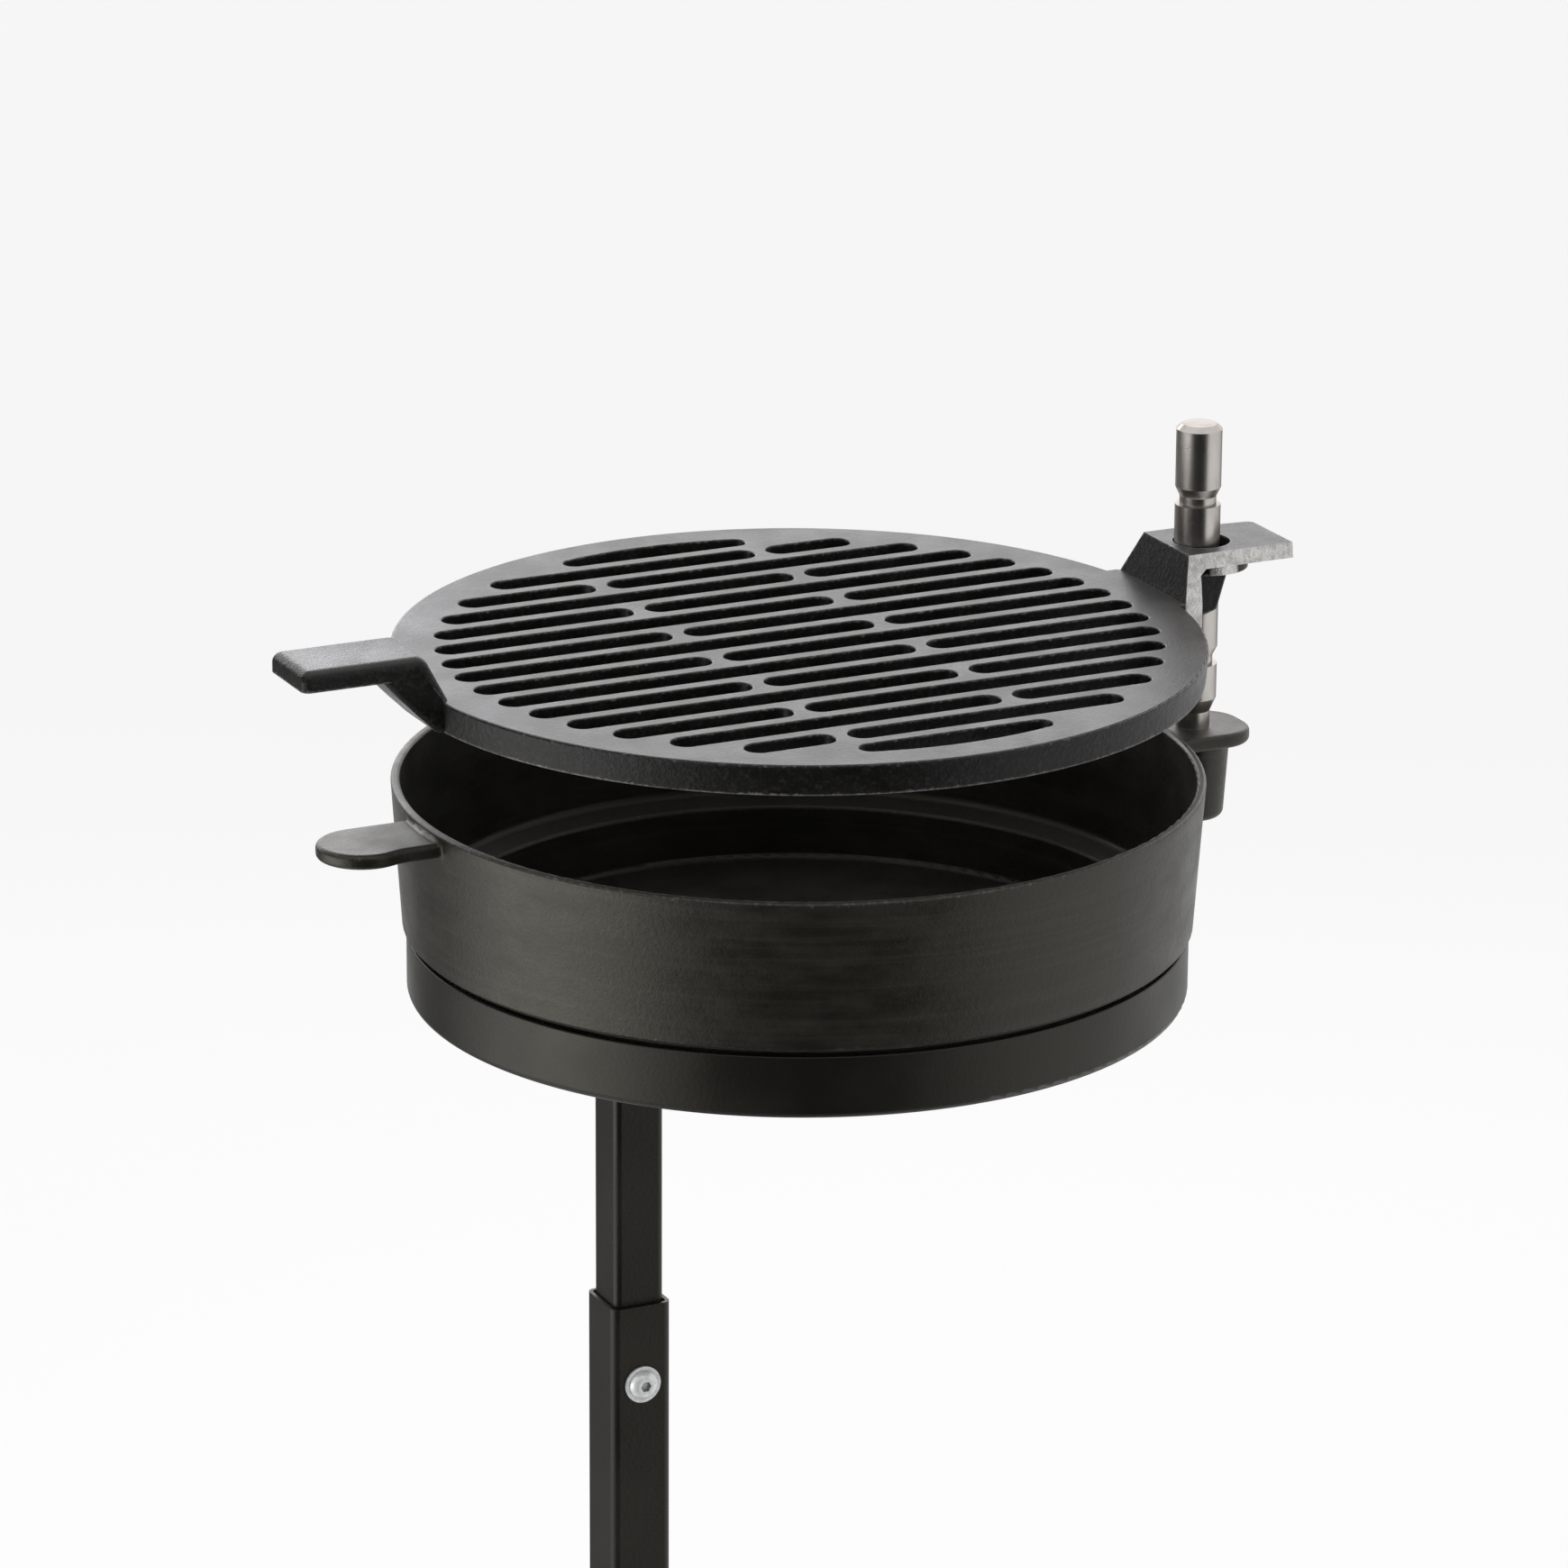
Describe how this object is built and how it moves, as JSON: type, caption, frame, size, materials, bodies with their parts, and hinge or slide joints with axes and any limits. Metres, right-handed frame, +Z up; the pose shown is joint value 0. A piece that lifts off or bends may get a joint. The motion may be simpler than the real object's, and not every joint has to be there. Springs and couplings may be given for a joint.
{
  "type": "park bbq grill pedestal",
  "caption": "Park charcoal grill: cast iron fire bowl in a sheet dish on a telescopic square post, with a round slotted grate that slides, swings and lifts off a turned stud",
  "frame": {"origin": "on the ground, under the middle of the post", "axes": "+Z up, +X from the post towards the stud, +Y to the left of +X seen from above"},
  "size_m": [0.5555, 0.4008, 1.002],
  "materials": {
    "powder_coat": "smooth black powder coat, soft sheen",
    "zinc": "bright zinc plate",
    "bowl_iron": "dark satin casting with a faint grain",
    "bright_steel": "turned and polished",
    "grate_iron": "mid-grey satin casting, bare along worn edges"
  },
  "bodies": {
    "base": {"base_plate": "powder_coat", "base_gussets": "powder_coat", "lower_tube": "powder_coat", "clamp_head_washer": "zinc", "clamp_nut_washer": "zinc", "clamp_nut": "zinc"},
    "bolt": {"clamp_bolt": "zinc"},
    "mast": {"upper_tube": "powder_coat", "support_plate": "powder_coat", "support_rib": "powder_coat", "pan": "powder_coat", "pan_studs": "zinc", "pan_washers": "zinc", "pan_nuts": "zinc"},
    "bowl": {"fire_bowl": "bowl_iron"},
    "pivot": {"stud": "bright_steel"},
    "grill": {"grate": "grate_iron"}
  },
  "joints": [
    {"name": "clamp_bolt_turn", "type": "hinge", "parent": "base", "child": "bolt", "pos_m": [0, -0.0172, 0.5465], "axis": [0, -1, 0], "range_deg": [0, 540]},
    {"name": "post_height", "type": "slide", "parent": "base", "child": "mast", "axis": [0, 0, 1], "range_m": [0, 0.15]},
    {"name": "bowl_lift", "type": "slide", "parent": "mast", "child": "bowl", "axis": [0, 0, 1], "range_m": [0, 0.12]},
    {"name": "grate_swing", "type": "hinge", "parent": "bowl", "child": "pivot", "pos_m": [0.313, 0, 0.844], "axis": [0, 0, 1], "continuous": true},
    {"name": "grate_height", "type": "slide", "parent": "pivot", "child": "grill", "axis": [0, 0, 1], "range_m": [-0.052, 0.08]}
  ]
}
